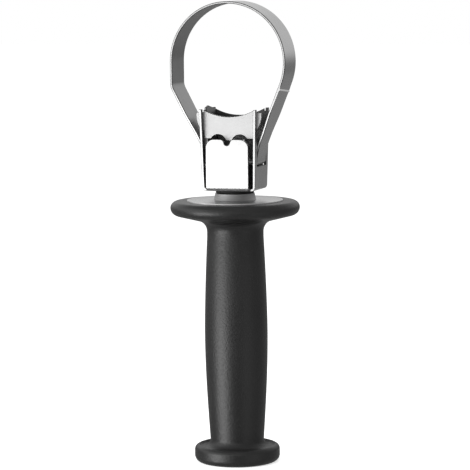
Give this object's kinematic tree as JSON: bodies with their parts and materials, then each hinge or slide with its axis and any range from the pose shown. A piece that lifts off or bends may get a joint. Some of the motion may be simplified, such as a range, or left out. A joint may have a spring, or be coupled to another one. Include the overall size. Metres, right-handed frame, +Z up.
{
  "type": "power tool side handle",
  "caption": "Side handle for a power tool: waisted black grip with a round guard and pommel, and a folded steel bracket with a saddle and a clamping band loop.",
  "frame": {"origin": "centre of the pommel's foot, on the grip's axis", "axes": "+Z up along the grip's axis towards the band, +X to the right seen from the front, -Y towards the front; the band's loop lies in the XZ plane"},
  "size_m": [0.0672, 0.0672, 0.24],
  "materials": {
    "moulded_plastic": "satin moulded black",
    "washer_plastic": "matt black",
    "disc_steel": "fine turned, zinc plated",
    "sheet_steel": "bright zinc plated",
    "saddle_steel": "satin zinc plated",
    "band_steel": "rolled strip, zinc plated",
    "fastener_steel": "zinc plated"
  },
  "bodies": {
    "grip": {"grip": "moulded_plastic", "nut": "fastener_steel", "disc": "disc_steel"},
    "head": {"thrust_washer": "washer_plastic", "bracket": "sheet_steel", "saddle": "saddle_steel"},
    "clamp": {"band": "band_steel", "bolt": "fastener_steel"}
  },
  "joints": [
    {"name": "grip_turn", "type": "hinge", "parent": "grip", "child": "head", "pos_m": [0, 0, 0.1409], "axis": [0, 0, 1], "range_deg": [0, 1720]},
    {"name": "band_slide", "type": "slide", "parent": "head", "child": "clamp", "axis": [0, 0, 1], "range_m": [0, 0.006]}
  ],
  "couplings": [
    {"joint": "band_slide", "follows": "grip_turn", "m_per_rad": 0.00019894}
  ]
}
